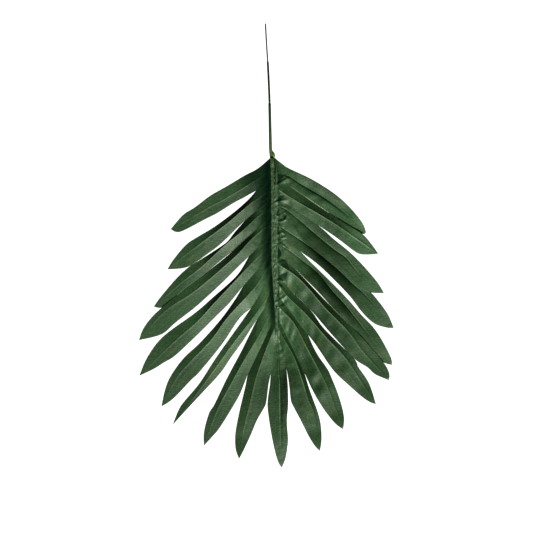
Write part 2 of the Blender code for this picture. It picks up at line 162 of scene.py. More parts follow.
# Wire coating: a thin dark green plastic skin drawn over the middle stretch of the wire. It stops
# short of the wire's free end, where it has been stripped, and meets the moulded stem.
COATING_RADIUS = 0.92
COATING_BORE = 0.67
COATING_FROM = 165.9
COATING_TO = 129.0
COATING_SWELL = 0.02
COATING_STEPS = 10
COATING_GREEN = (0.011, 0.021, 0.009, 1)
coating_mesh = bmesh.new()
covered = [p for p in WIRE_LINE if COATING_TO - 1 < p[1] <= COATING_FROM + 1]
coating_path = smooth_path([Vector(p) for p in covered], COATING_STEPS)
coating_outer = []
coating_inner = []
for spot, along in zip(coating_path, directions(coating_path)):
    swell = 1 + COATING_SWELL * noise.noise(spot * 0.25)
    coating_outer.append(round_ring(coating_mesh, spot, along, COATING_RADIUS * swell, WIRE_SIDES))
    coating_inner.append(round_ring(coating_mesh, spot, along, COATING_BORE, WIRE_SIDES))
join_rings(coating_mesh, coating_outer)
join_rings(coating_mesh, coating_inner)
join_rings(coating_mesh, (coating_inner[0], coating_outer[0]))
join_rings(coating_mesh, (coating_inner[-1], coating_outer[-1]))
coating = finish_mesh("wire_coating_skin", coating_mesh)
coating_skin, tree, shader = new_material("dark green skin")
shader.inputs["Base Color"].default_value = COATING_GREEN
shader.inputs["Roughness"].default_value = 0.6
shader.inputs["Specular IOR Level"].default_value = 0.25
coating.data.materials.append(coating_skin)
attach(coating, "root")
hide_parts("wire_coating")

# Moulded stem: one green plastic moulding over the wire, round above the leaf and a flat-backed rib
# under the cloth. It is moulded in two halves, which leaves a faint seam along both sides.
# From the top down: the stem's Y, X, half width and height.
STEM_LINE = (
    (128.5, 2.9, 1.15, 2.3),
    (114.0, 3.2, 1.15, 2.4),
    (100.0, 3.5, 1.25, 2.6),
    (88.0, 3.75, 1.35, 2.9),
    (84.5, 4.1, 1.45, 2.9),
    (79.0, 5.2, 1.9, 3.0),
    (71.0, 5.8, 1.5, 3.4),
    (62.0, 6.8, 1.6, 3.9),
    (50.0, 7.2, 1.7, 4.3),
    (18.0, 7.3, 1.7, 4.3),
    (-15.0, 7.4, 1.7, 4.3),
    (-35.0, 8.0, 1.4, 4.0),
    (-52.0, 8.6, 1.0, 3.4),
    (-70.0, 9.3, 0.6, 2.4),
)
STEM_SIDES = 28
STEM_STEP = 2.0
STEM_SEAM = 0.06
SEAM_SHARE = 0.12
ROUNDING = 0.9
FLAT_FOOT = -0.75
MOUTH_DEPTH = 3.0
MOUTH_HEIGHT = 1.15
MOUTH_RADIUS = 0.72
STEM_GREEN = (0.035, 0.075, 0.03, 1)
STEM_LIGHT = (0.075, 0.135, 0.055, 1)
STEM_DARK = (0.022, 0.05, 0.02, 1)
LIGHT_UP_TO = 85.0
DARK_FROM = 125.0


def between(table, y):
    """The values of a table of falling Y at this Y."""
    for above, below in zip(table, table[1:]):
        if y >= below[0]:
            share = min(1.0, max(0.0, (above[0] - y) / (above[0] - below[0])))
            return [a + (b - a) * share for a, b in zip(above[1:], below[1:])]
    return list(table[-1][1:])


def stem_ring(mesh, y):
    """A section of the stem: a rounded back on a flat foot, with the seam at its sides."""
    x, half, height = between(STEM_LINE, y)
    ring = []
    for i in range(STEM_SIDES):
        turn = math.tau * (i + 0.5) / STEM_SIDES
        across = math.copysign(abs(math.cos(turn)) ** ROUNDING, math.cos(turn))
        up = math.sin(turn)
        seam = STEM_SEAM if abs(up) < SEAM_SHARE else 0.0
        z = height * (0.5 + 0.5 * up)
        if up < FLAT_FOOT:
            z = 0.0
        ring.append(mesh.verts.new(Vector((x + across * (half + seam), y, z)) * MM))
    return ring


stem_mesh = bmesh.new()
stem_rings = []
y = STEM_LINE[0][0]
while y >= STEM_LINE[-1][0]:
    stem_rings.append(stem_ring(stem_mesh, y))
    y -= STEM_STEP
join_rings(stem_mesh, stem_rings)
mouth_y, mouth_x = STEM_LINE[0][:2]
mouth_rings = []
for depth in (0.0, MOUTH_DEPTH):
    ring = []
    for i in range(STEM_SIDES):
        turn = math.tau * (i + 0.5) / STEM_SIDES
        x = mouth_x + MOUTH_RADIUS * math.cos(turn)
        z = MOUTH_HEIGHT + MOUTH_RADIUS * math.sin(turn)
        ring.append(stem_mesh.verts.new(Vector((x, mouth_y - depth, z)) * MM))
    mouth_rings.append(ring)
join_rings(stem_mesh, (stem_rings[0], *mouth_rings))
stem_mesh.faces.new(mouth_rings[-1])
stem_mesh.faces.new(stem_rings[-1])
bmesh.ops.remove_doubles(stem_mesh, verts=stem_mesh.verts, dist=0.000001)
stem = finish_mesh("moulded_stem", stem_mesh)
stem_skin, tree, shader = new_material("green stem plastic")
shader.inputs["Roughness"].default_value = 0.42
position = add_node(tree, "ShaderNodeTexCoord")
heights = add_node(tree, "ShaderNodeSeparateXYZ")
tree.links.new(position.outputs["Object"], heights.inputs["Vector"])
# The moulding is darkest at its mouth and lightens towards the leaf.
tone = add_node(tree, "ShaderNodeValToRGB")
tone.color_ramp.elements[0].position = 0.0
tone.color_ramp.elements[0].color = STEM_LIGHT
tone.color_ramp.elements[1].position = 1.0
tone.color_ramp.elements[1].color = STEM_DARK
middle = tone.color_ramp.elements.new(0.45)
middle.color = STEM_GREEN
reach = add_node(tree, "ShaderNodeMapRange")
reach.inputs["From Min"].default_value = LIGHT_UP_TO * MM
reach.inputs["From Max"].default_value = DARK_FROM * MM
tree.links.new(heights.outputs["Y"], reach.inputs["Value"])
tree.links.new(reach.outputs["Result"], tone.inputs["Fac"])
tree.links.new(tone.outputs["Color"], shader.inputs["Base Color"])
stem.data.materials.append(stem_skin)
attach(stem, "root")
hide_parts("stem_sleeve")

# Leaf blade: one sheet of dark green woven cloth, starched, heat pressed between ribbed moulds and
# cut into leaflets. The press leaves a crease down each leaflet, a channel over the midrib, and
# puckers where the folds meet it. The cut edges are left raw.
CLOTH_THICKNESS = 0.35
CLOTH_SETTLING = 0.25
CLOTH_LOWEST = 0.6
CLOTH_WELD = 0.02
# From the top down: the midrib's Y, X, half width and height.
MIDRIB = (
    (79.0, 5.5, 2.1, 4.2),
    (64.0, 6.9, 2.6, 5.1),
    (45.0, 7.2, 2.8, 5.5),
    (-15.0, 7.4, 2.8, 5.5),
    (-49.0, 8.5, 1.6, 5.2),
    (-78.0, 9.5, 0.6, 4.8),
)
# Where the leaflets' edges and creases leave the midrib, by Y.
ROOT_ROWS = (
    79.0, 66.5, 58.5, 50.5, 42.5, 35.0, 27.0, 18.5, 10.0, 1.5,
    -7.5, -16.5, -25.5, -34.5, -44.5, -54.5, -64.5, -72.5, -78.0,
)  # fmt: skip
# The gutter is the low strip at the foot of the midrib's flank.
GUTTER_OUT = 8.4
GUTTER_RUN_MOST = 14.0
GUTTER_SHARE_MOST = 0.8
OUTER_GUTTER = 1.8
# Rows lie at stations along a leaflet, from 0 at the midrib to 14 at the tip. Its fold flattens
# out between two of them.
STATIONS = 14
GUTTER_STATION = 2
FLAT_FROM, FLAT_TO = 5.5, 12.0
ROW_STATIONS = [i / 10 for i in range(20)] + [2 + i / 7 for i in range(21)] + [5 + i / 4 for i in range(37)]
HALF_COLUMNS = (0.03, 0.08, 0.15, 0.23, 0.32, 0.42, 0.53, 0.64, 0.75, 0.86, 0.95, 1.0)
LINE_STEPS = 14
# Pairs for the left and the right of the midrib.
FLAT_MOST = (0.75, 0.95)
FLANK_BENDS = (1.7, 2.4)
CREST_RIDGES = (0.12, 0.4)
# How strong the painted highlight on a crest is.
CREST_LINES = (0.45, 1.0)
GATHER_HEIGHTS = (0.08, 0.3)
CREST_HALF_WIDTH = 0.5
OUTER_BEND = 1.25
# How sharply a valley is pinched, the second value for second halves on the right.
PINCHES = (3.2, 1.7)
# How much of a crease's height shows at each station: as a rule, where the crease starts at the
# midrib, and in a valley.
CREASE_SHARE = (0, 0, 0, 0.65, 1, 1, 1, 1, 1, 1, 0.9, 0.65, 0.3, 0.1, 0)
ROOTED_SHARE = (0, 0.8, 0.8, 0.9, 1, 1, 1, 1, 1, 1, 0.9, 0.65, 0.3, 0.1, 0)
VALLEY_SHARE = (0, 0.2, 0.3, 0.5, 0.75, 1, 1, 1, 1, 1, 0.9, 0.65, 0.3, 0.1, 0)
# How strong the painted highlight on one side of a valley and the painted shade on the other are, and how
# wide, as a rule and by leaflet.
VALLEY_LINE = (1.0, 1.0, 0.15)
VALLEY_LINES = {18: (0.0, 1.0, 0.25)}
# How far a leaflet's first half bulges.
PILLOWS = {10: 0.5, 11: 0.9, 12: 0.9, 13: 0.9, 14: 0.5, 16: 0.4, 17: 0.4, 18: 0.35}
CHANNEL_COLUMNS = 20
CRINKLES = 0.36
FINE_CRINKLES = 0.26
GROOVE_DEPTH = 1.3
GROOVE_WIDTH = 0.13
GROOVE_FROM = 54
GROOVE_PLACE = 0.58
GROOVE_SWING = 0.3
CHANNEL_ROUND = 0.15
# A thin line of painted shade at the foot of the midrib, for leaflets without the band, and the station it
# lies at.
RAIL_SHADE = 0.6
RAIL_FOOT = 0.25
# The station where the painted shade ends left of the midrib, as a rule and by leaflet.
SHADE_END = 1.5
SHADE_ENDS = {0: 5.0, 1: 3.0, 2: 2.4, 3: 2.0, 4: 2.4}
# Painted light and shade round the leaf, at even distances from the first leaflet by the tip to the
# last: near the midrib, on the first halves, on the second halves and at the tips. Above 1 the
# cloth is painted paler, below 1 darker. It changes over a few stations, past the roots and before the
# tips.
LIGHT_AND_SHADE_ROUND = (
    (0.7, 1.4, 1.0, 1.2),
    (1.0, 1.7, 1.1, 1.1),
    (1.5, 1.5, 1.3, 0.8),
    (1.2, 0.8, 0.5, 0.9),
    (1.5, 0.9, 1.0, 0.9),
    (1.2, 0.5, 0.9, 1.1),
    (1.3, 1.4, 1.0, 1.6),
)
LIGHT_AND_SHADE_ROOT_END = 3
LIGHT_AND_SHADE_TIP_START = 8
LIGHT_AND_SHADE_BLEND = 3
# Frayed pale edges by leaflet, 0 for its first edge and 1 for its second, the station where they
# end, and how dark the painted shade along them is past it. Other cut edges carry painted shade.
PALE_EDGES = ((1, 1), (2, 1), (11, 1), (12, 1), (13, 1), (14, 0), (14, 1), (17, 1), (18, 0))
PALE_END = 9
PAST_PALE_SHADE = 0.6
# How high the unevenness of the pressed cloth is.
BROAD_WAVE = 0.16
SMALL_WAVE = 0.05
RUMPLE = 0.34
# Leaflets in order round the leaf. Each has the edge that faces the leaflet before it, the crease,
# the edge that faces the next one, the tip, and the heights of first edge, crease, second edge
# and tip. Edges start at the cuts below, and creases at the midrib.
LEAFLETS = (
    {
        "first": ((-8, 69.5), (-19.5, 63.3), (-35, 54), (-50.7, 45), (-64.2, 34.8), (-75.2, 27.7)),
        "crease": ((-1, 64.5), (-35, 43.5), (-50.5, 35.5), (-65, 27)),
        "second": ((-19.5, 43.5), (-30, 38.2), (-44.5, 29.2), (-55.5, 23.6), (-74.5, 13.7), (-81.5, 12.3)),
        "tip": (-86.3, 15),
        "heights": (3.8, 4.6, 3.6, 1.8),
    },
    {
        "first": ((-15.5, 42.6), (-28.4, 30.9), (-46.4, 17.4), (-61, 8.5), (-72.2, 1.1), (-83.8, -12.4)),
        "crease": ((-13, 39), (-24.5, 29.5), (-37.5, 18.5), (-66.5, -3)),
        "second": ((-40, 2.7), (-51.5, -6.3), (-70.5, -19)),
        "tip": (-89.3, -21.4),
        "heights": (1.6, 5.0, 2.0, 1.6),
    },
    {
        "first": ((-28.5, 12.5), (-35, 4), (-44.5, -3), (-60, -13), (-71, -20), (-82.5, -31), (-96, -47)),
        "crease": ((-7.5, 26.5), (-21.5, 13.5), (-37.5, 0.5), (-59, -19.5), (-76.5, -33)),
        "second": ((-57.5, -27), (-75.5, -40.5), (-92.5, -55.2)),
        "tip": (-101.6, -55),
        "heights": (1.6, 5.0, 3.0, 2.6),
    },
    {
        "first": ((-57.5, -26.7), (-75.5, -40.3), (-92.5, -54.3), (-103.3, -64.4), (-111.2, -75)),
        "crease": ((-3, 15), (-15.5, 4), (-29, -10.5), (-63.5, -40), (-91, -58.5)),
        "second": ((-28.5, -22.5), (-42.2, -35.7), (-63.5, -55), (-82, -69.5), (-94.5, -80)),
        "tip": (-115, -85.3),
        "heights": (1.8, 5.0, 2.6, 2.0),
    },
    {
        "first": ((-24, -23.5), (-33, -33.2), (-47.5, -46), (-64.5, -60.8), (-93, -81.8), (-107.2, -100.2)),
        "crease": ((-3, -6), (-13, -15.5), (-46.5, -51), (-63.5, -69.5), (-81, -84.5)),
        "second": ((-33, -51.6), (-45, -63.3), (-61.8, -80), (-82, -99), (-92, -105.2), (-101.5, -111.2)),
        "tip": (-114.7, -117.4),
        "heights": (1.2, 5.0, 2.6, 1.6),
    },
    {
        "first": (
            (-29.5, -50.2), (-42, -67.5), (-60, -87.7), (-74.7, -101.5), (-86, -117), (-91.3, -129.5),
        ),  # fmt: skip
        "crease": ((0, -21), (-10, -37), (-35, -64.5), (-50.5, -85.5), (-78.5, -115.5)),
        "second": ((-25, -67), (-40.5, -89.5), (-60.4, -114), (-68, -121.3), (-84, -138)),
        "tip": (-94.8, -145.3),
        "heights": (1.6, 5.2, 2.6, 1.6),
    },
    {
        "first": (
            (-27.5, -75.5), (-46.7, -103), (-60.3, -124), (-73.7, -140), (-78.4, -146.6), (-82, -155),
        ),  # fmt: skip
        "crease": ((1.5, -45.5), (-9.5, -61.5), (-31, -89.5), (-48, -113), (-64.5, -135.5)),
        "second": ((-19.3, -83.7), (-32.3, -101.4), (-41.8, -115.3), (-60, -135), (-74, -150)),
        "tip": (-84.5, -161.6),
        "heights": (2.0, 3.8, 2.4, 4.6),
    },
    {
        "first": (
            (-17.3, -84.3), (-23, -96), (-35.9, -120.3), (-46.8, -143), (-51.8, -151.2), (-56.3, -168),
        ),  # fmt: skip
        "crease": ((1.5, -65.5), (-6.5, -80.5), (-18.5, -100.5), (-30.5, -121.5), (-44, -147)),
        "second": ((-22.6, -131.5), (-28.8, -142.8), (-41.9, -164), (-48.8, -172.3)),
        "tip": (-56.4, -180.5),
        "heights": (1.4, 5.0, 2.6, 1.6),
    },
    {
        "first": ((-20.7, -133.3), (-24.2, -149), (-27, -163), (-28.2, -173), (-27.6, -184)),
        "crease": ((3.5, -83.5), (-4, -103), (-10, -121.5), (-15.5, -144.5), (-20, -162.5)),
        "second": (
            (2.1, -126), (-0.1, -141), (-1.6, -145.4), (-8.5, -157.5), (-13.6, -169.6), (-19.8, -183),
        ),  # fmt: skip
        "tip": (-24.6, -192.4),
        "heights": (1.2, 5.0, 2.6, 4.4),
    },
    {
        "first": ((2.8, -126), (1.2, -139), (1.4, -149), (4.6, -170.5), (8.1, -187), (11, -196)),
        "crease": ((10.5, -83), (11, -104), (12.5, -133), (13, -167)),
        "second": ((19.4, -125), (19.6, -143.5), (18.5, -158), (19.5, -174), (18.9, -182), (17.2, -192)),
        "tip": (14, -200.6),
        "heights": (2.8, 3.6, 4.6, 1.2),
    },
    {
        "first": ((20.5, -127), (22.2, -140), (24.2, -144.7), (31.1, -157.7), (38, -171.5), (43.8, -180.7)),
        "crease": ((15.5, -83.5), (25.5, -101.5), (33, -123), (38, -139.5), (43.5, -152.5)),
        "second": ((38.9, -129.3), (42.8, -140.3), (46.6, -151), (49.1, -162), (49.7, -175)),
        "tip": (48.3, -185.3),
        "heights": (3.2, 5.0, 1.2, 4.4),
    },
    {
        "first": ((40.7, -129.1), (51.4, -146.9), (61.5, -159.8)),
        "crease": ((17, -61), (26, -71.5), (38, -94.5), (50.5, -118), (59, -137)),
        "second": ((46.1, -97.8), (55.5, -111.9), (58.7, -119), (63.6, -131), (68.1, -145), (70.1, -156)),
        "tip": (69.2, -165.7),
        "heights": (2.4, 5.0, 1.8, 4.6),
    },
    {
        "first": ((44.3, -89.5), (49, -96.3), (61.1, -113.2), (76.4, -127.7), (86.4, -136.5), (94, -141.4)),
        "crease": ((20, -46.5), (36.5, -62.5), (53.5, -82), (73, -103.5)),
        "second": ((39.3, -57.3), (49.7, -72), (60, -83), (79.3, -102), (82.8, -109.3), (92.6, -124.2)),
        "tip": (98.8, -143),
        "heights": (3.2, 5.2, 1.0, 4.0),
    },
    {
        "first": ((39.5, -57.6), (55.1, -75.7), (62, -83.4), (79, -101.7), (91.3, -109.9), (98, -116)),
        "crease": ((26.5, -27), (39.5, -40), (53, -56), (74, -77.5), (86.5, -94.5)),
        "second": ((44, -40), (62.9, -59.3), (86.9, -83.6), (104.6, -103.8), (110.8, -115)),
        "tip": (110.4, -121.3),
        "heights": (2.8, 5.0, 1.0, 4.2),
    },
    {
        "first": ((44.6, -39.6), (62.5, -59.2), (86.5, -83.8), (104.3, -103.9), (108.2, -106.5)),
        "crease": ((18.5, -3), (32, -13), (47, -25), (59, -40), (72.5, -55), (88.5, -76)),
        "second": ((48.1, -22.5), (70.9, -45.6), (85.9, -62.6), (95.7, -72.8), (103.5, -84), (112.4, -101)),
        "tip": (113.4, -107.7),
        "heights": (6.2, 0.8, 3.0, 1.4),
    },
    {
        "first": ((48, -18.4), (61.5, -31.2), (75.5, -45.8), (86, -59.6), (97, -70), (108.5, -74)),
        "crease": ((17, 14), (39.5, -1), (63.5, -20.5), (77.5, -34), (90, -45.5)),
        "second": ((32.7, 6.6), (46, -2.5), (64.5, -16.5), (82.5, -31.5), (95, -42.8), (108.7, -60.4)),
        "tip": (115, -74.2),
        "heights": (5.4, 0.9, 3.4, 0.8),
    },
    {
        "first": (
            (28.6, 11.2), (32.4, 6.0), (39.5, -1.0), (63.5, -20), (77.5, -33), (86.5, -39.5), (95, -42.4),
        ),  # fmt: skip
        "crease": ((17, 33), (31, 22), (45.5, 9.5), (62, -4), (72.5, -11.5), (84.5, -26.5)),
        "second": ((53.8, 12.6), (60.4, 6.4), (78.8, -9.2), (98.4, -30.7)),
        "tip": (106.2, -42.8),
        "heights": (4.0, 1.4, 3.8, 0.8),
    },
    {
        "first": ((54.2, 13.1), (62, 8), (68.7, 3.1), (78.5, -4.4), (85, -7.8), (95, -7.9)),
        "crease": ((12.5, 49.5), (26.5, 40.5), (41.5, 32), (61.5, 20), (77, 9.5)),
        "second": ((39.5, 41), (56.5, 29.5), (71, 20), (86.5, 10.6), (95.2, 0.9)),
        "tip": (101, -7.2),
        "heights": (2.6, 4.6, 1.8, 0.8),
    },
    {
        "first": ((39.5, 41.1), (56.5, 29.6), (71, 20), (86, 10.8)),
        "crease": ((21.5, 62), (30.5, 56), (53.5, 42.5), (73.5, 27)),
        "second": ((13.5, 74.5), (20.5, 69.6), (41.1, 59.7), (60.8, 47.3), (75, 34.8), (86.6, 20.6)),
        "tip": (90, 12),
        "heights": (2.9, 1.2, 4.6, 0.8),
    },
)
SIDE_COUNT = len(LEAFLETS) // 2
# Where the cut between two neighbouring leaflets starts: point, station, height and how far each
# raw edge draws back there. Below 0 it laps over its neighbour.
CUTS = (
    ((-9.5, 49.5), 3, 0.9, 0.35),
    ((-20, 22), 4, 0.9, 0.35),
    ((-31, -5.5), 5, 0.9, 0.35),
    ((-16, -10), 4, 0.9, 0.35),
    ((-21, -36.5), 4, 0.9, 0.35),
    ((-14, -56.5), 4, 0.9, 0.35),
    ((-8.5, -66.5), 4, 1.0, 0.35),
    ((-17, -116.5), 6, 1.2, 0.35),
    ((4, -115.5), 5, 1.4, 0.35),
    ((18, -110.5), 5, 1.2, 0.35),
    ((34.5, -115), 7, 1.0, 0.35),
    ((37.7, -80.5), 5, 0.9, 0.35),
    ((22, -40.5), 3, 0.9, 0.15),
    ((26.5, -21.5), 3, 1.6, -0.2),
    ((31, -5.5), 3, 3.0, 0.35),
    ((25, 17), 3, 3.2, 0.0),
    ((46.5, 18.5), 6, 2.6, 0.35),
    ((22, 53), 3, 2.4, -0.1),
)
# Ridges pushed up in the cloth beside the midrib. Each is a line, the heights across it by the
# distance from the line (left of it is negative), and how wide and how strong it is at both ends.
PUCKERS = (
    (((10.1, 55.4), (19.6, 61.2)), ((-1.4, 0), (0, 1.2), (3.0, 0.5), (4.6, 0)), (0.7, 1.0), (1.0, 0.6)),
    (((9.4, 39.7), (18.6, 41.7)), ((-1.4, 0), (0, 1.1), (2.4, 0.4), (3.8, 0)), (0.7, 1.0), (1.0, 0.5)),
    (
        ((6.7, 34.0), (7.3, 28.0), (11.0, 26.3), (15.3, 29.6), (17.6, 30.2), (19.0, 27.5), (17.4, 23.6)),
        ((-1.2, 0), (0, 0.8), (1.2, 0)),
        (0.8, 1.0),
        (0.6, 1.0),
    ),
    (((17.4, 23.6), (14.0, 22.0), (10.0, 21.8)), ((-1.2, 0), (0, 0.9), (1.2, 0)), (1.0, 1.0), (1.0, 0.8)),
    (
        ((11.0, 9.7), (13.9, 12.0), (17.7, 10.4), (17.7, 7.6), (13.9, 6.9)),
        ((-1.2, 0), (0, 0.9), (1.4, 0)),
        (0.8, 1.0),
        (1.0, 0.8),
    ),
    (((8.9, -31.3), (17.0, -32.2)), ((-1.0, 0), (0, 0.9), (1.4, 0)), (0.8, 1.0), (1.0, 0.6)),
    (((9.8, -50.4), (17.4, -45.6)), ((-1.2, 0), (0, 1.0), (1.6, 0)), (0.8, 1.0), (1.0, 0.9)),
    (((10.2, -55.0), (17.5, -54.6)), ((-1.0, 0), (0, 0.6), (1.6, 0)), (0.8, 1.0), (1.0, 0.5)),
    (((-10.7, 19.8), (-7.4, 18.2)), ((-0.9, 0), (0, -0.6), (0.9, 0)), (1.0, 1.0), (1.0, 1.0)),
    (((-9.4, 2.8), (-6.8, 1.2)), ((-0.9, 0), (0, -0.6), (0.9, 0)), (1.0, 1.0), (1.0, 1.0)),
    (((-13.5, -18.6), (-10.8, -20.4)), ((-0.9, 0), (0, -0.6), (0.9, 0)), (1.0, 1.0), (1.0, 1.0)),
    (((-8.8, -35.8), (-6.2, -38.0)), ((-0.9, 0), (0, -0.6), (0.9, 0)), (1.0, 1.0), (1.0, 1.0)),
)
PUCKER_END_FADE = 1.6
# Pockets pinched between the ridges, as their outlines. They are sunk a little, and painted shade darkens
# the cloth in them. Each is followed by how deep and dark it is.
POCKETS = (
    (((10.2, 66.0), (13.0, 65.0), (16.2, 62.0), (13.9, 60.5), (10.0, 55.6)), 1.0),
    (((10.6, 54.9), (18.0, 56.0), (12.0, 53.0)), 0.6),
    (((9.1, 40.0), (10.8, 44.6), (13.4, 45.8), (16.4, 45.7), (13.9, 42.2)), 1.0),
    (((10.1, 39.4), (15.3, 39.4), (22.5, 35.6), (20.5, 33.0), (15.3, 34.9)), 0.5),
    (((11.3, 33.4), (11.9, 31.8), (9.8, 27.0), (8.7, 29.4)), 1.0),
    (((15.6, 28.6), (17.2, 28.4), (17.6, 26.2), (16.0, 24.2), (14.6, 26.2)), 0.7),
    (((10.6, 22.8), (12.5, 24.6), (15.0, 25.4), (13.8, 22.9)), 0.8),
    (((9.9, 18.9), (11.6, 16.8), (11.9, 13.0), (11.0, 9.9), (9.7, 11.1)), 0.9),
    (((9.2, 5.2), (11.0, 6.9), (15.2, 6.3), (13.9, 5.0)), 0.9),
    (((10.6, 4.7), (15.3, 3.0), (20.1, -3.2), (17.2, -1.6)), 0.8),
    (((10.3, 0.0), (12.5, -3.2), (14.1, -7.4), (12.5, -10.3), (9.7, -13.2), (10.1, -7.4)), 1.0),
    (((10.1, -13.8), (14.4, -11.2), (18.4, -13.1), (20.8, -20.3), (15.3, -18.9)), 0.75),
    (((8.6, -31.0), (11.7, -27.0), (15.0, -24.6), (19.3, -23.6), (17.4, -29.5), (14.1, -31.0)), 1.0),
    (((8.9, -32.2), (12.7, -33.0), (15.6, -37.6), (18.4, -41.0), (12.2, -36.2)), 0.9),
    (((10.6, -38.9), (11.9, -41.0), (10.9, -45.2), (9.1, -47.1), (10.0, -42.9)), 1.0),
    (((9.8, -50.0), (11.7, -46.9), (16.5, -43.1), (15.0, -46.7)), 0.5),
    (((11.0, -55.0), (15.0, -51.2), (19.5, -47.4), (18.4, -51.1), (15.0, -53.5)), 0.7),
)
POCKET_REACH = (7.5, 23.0)
POCKET_DEPTH = 0.3
POCKET_SHADE = 0.95
POCKET_SLOPE = 0.6


def lengths_along(path):
    runs = [0.0]
    for a, b in zip(path, path[1:]):
        runs.append(runs[-1] + (b - a).length)
    return runs


def walk(path, distances):
    """Points at rising distances along a path."""
    runs = lengths_along(path)
    spots = []
    k = 0
    for distance in distances:
        while k < len(path) - 2 and runs[k + 1] < distance:
            k += 1
        share = (distance - runs[k]) / (runs[k + 1] - runs[k])
        spots.append(path[k].lerp(path[k + 1], min(1.0, max(0.0, share))))
    return spots


def gutter_run(path):
    runs = lengths_along(path)
    most = min(GUTTER_RUN_MOST, GUTTER_SHARE_MOST * runs[-1])
    for point, run in zip(path, runs):
        if abs(point.x - path[0].x) >= GUTTER_OUT:
            return min(run, most)
    return most


def ease(share):
    share = min(1.0, max(0.0, share))
    return share * share * (3 - 2 * share)


def leaflet_line(root, through, tip, cut):
    """The plan of an edge or crease at every row."""
    if cut is None:
        path = smooth_path([root, *through, tip], LINE_STEPS)
        web_end = STATIONS
    else:
        path = [root, Vector(cut[0])]
        web_end = cut[1]
    gutter = gutter_run(path)
    length = lengths_along(path)[-1]
    distances = []
    for station in ROW_STATIONS:
        if station > web_end:
            break
        if station <= GUTTER_STATION:
            distances.append(gutter * station / GUTTER_STATION)
        else:
            share = (station - GUTTER_STATION) / (web_end - GUTTER_STATION)
            distances.append(gutter + (length - gutter) * share)
    line = walk(path, distances)
    if cut is not None:
        path = smooth_path([Vector(cut[0]), *through, tip], LINE_STEPS)
        length = lengths_along(path)[-1]
        beyond = [station - web_end for station in ROW_STATIONS if station > web_end]
        line += walk(path, [length * reach / (STATIONS - web_end) for reach in beyond])
    return line


def edge_heights(rail, edge, tip, cut, right):
    """Heights of an edge at every row: down the midrib's flank, along the web and out to the tip."""
    heights = []
    step, gutter = (cut[1], cut[2]) if cut else (GUTTER_STATION, OUTER_GUTTER)
    for station in ROW_STATIONS:
        if station <= GUTTER_STATION:
            z = gutter + (rail - gutter) * (1 - station / GUTTER_STATION) ** FLANK_BENDS[right]
        elif station <= step:
            z = gutter
        elif station <= STATIONS - 3:
            z = gutter + (edge - gutter) * ease((station - step) / 2)
        else:
            z = edge + (tip - edge) * ease((station - STATIONS + 3) / 3)
        heights.append(z)
    return heights


def share_at(table, station):
    low = min(int(station), len(table) - 2)
    return table[low] + (table[low + 1] - table[low]) * (station - low)


def root_point(side, row):
    y = ROOT_ROWS[row]
    x, half, height = between(MIDRIB, y)
    return Vector((x + side * half, y)), height


def leaflet_roots(index):
    last_row = len(ROOT_ROWS) - 1
    if index < SIDE_COUNT:
        return [root_point(-1, 2 * index + i) for i in range(3)]
    if index == SIDE_COUNT:
        return [root_point(side, last_row) for side in (-1, 0, 1)]
    row = 2 * (len(LEAFLETS) - index)
    return [root_point(1, row - i) for i in range(3)]


def knot_height(knots, distance):
    """The height between the knots of a profile, and nothing outside them."""
    if distance <= knots[0][0] or distance >= knots[-1][0]:
        return 0.0
    for (a, low), (b, high) in zip(knots, knots[1:]):
        if distance <= b:
            return low + (high - low) * (distance - a) / (b - a)
    return 0.0


def pucker_height(x, y):
    """How far the puckers lift or sink the cloth at a place."""
    lift = 0.0
    for line, knots, (wide, wide_end), (strong, strong_end) in PUCKERS:
        nearest = None
        for k, (a, b) in enumerate(zip(line, line[1:])):
            run_x, run_y = b[0] - a[0], b[1] - a[1]
            length = math.hypot(run_x, run_y)
            off_x, off_y = x - a[0], y - a[1]
            along = (off_x * run_x + off_y * run_y) / length
            side = (off_x * run_y - off_y * run_x) / length
            beyond = max(-along, along - length, 0.0)
            away = math.hypot(side, beyond)
            if nearest is None or away < nearest[0]:
                share = (k + min(1.0, max(0.0, along / length))) / (len(line) - 1)
                nearest = (away, side, beyond, share)
        _, side, beyond, share = nearest
        fade = max(0.0, 1 - beyond / PUCKER_END_FADE)
        width = wide + (wide_end - wide) * share
        lift += knot_height(knots, side / width) * fade * (strong + (strong_end - strong) * share)
    return lift


def pocket_depth(x, y):
    """How deep in a pocket a place is, from 0 at its outline to 1."""
    if not POCKET_REACH[0] < x < POCKET_REACH[1]:
        return 0.0
    for outline, depth in POCKETS:
        inside = False
        nearest = math.inf
        for (ax, ay), (bx, by) in zip(outline, (*outline[1:], outline[0])):
            if (ay > y) != (by > y) and x < ax + (bx - ax) * (y - ay) / (by - ay):
                inside = not inside
            run_x, run_y = bx - ax, by - ay
            share = ((x - ax) * run_x + (y - ay) * run_y) / (run_x**2 + run_y**2)
            share = min(1.0, max(0.0, share))
            nearest = min(nearest, math.hypot(x - ax - run_x * share, y - ay - run_y * share))
        if inside:
            return depth * ease((nearest + 0.2) / POCKET_SLOPE)
    return 0.0


def ripples(x, y, x_rate, y_rate, pattern):
    """Smooth random ups and downs, closer together at a higher rate."""
    return noise.noise(Vector((x * x_rate, y * y_rate, pattern)))


def gathers(x, y):
    """Fine folds that run out from the midrib, slanting up to the right of it."""
    along = x * 0.85 + y * 0.5
    over = y * 0.85 - x * 0.5
    fold = 0.5 - 3 * abs(ripples(along, over, 0.07, 0.3, 12.4))
    if x > 7:
        return GATHER_HEIGHTS[1] * fold * ease((x - 8.5) / 2) * ease((21 - x) / 9)
    return GATHER_HEIGHTS[0] * fold * ease((5.5 - x) / 2) * ease((x + 12) / 10)


def cloth_waves(x, y):
    """The small unevenness that pressing leaves in the cloth."""
    broad = ripples(x, y, 0.06, 0.06, 3.1)
    small = ripples(x, y, 0.22, 0.22, 8.7)
    rumple = ripples(x, y, 0.1, 0.1, 21.0) * ease((x - 8) / 8)
    return BROAD_WAVE * broad + SMALL_WAVE * small + RUMPLE * rumple


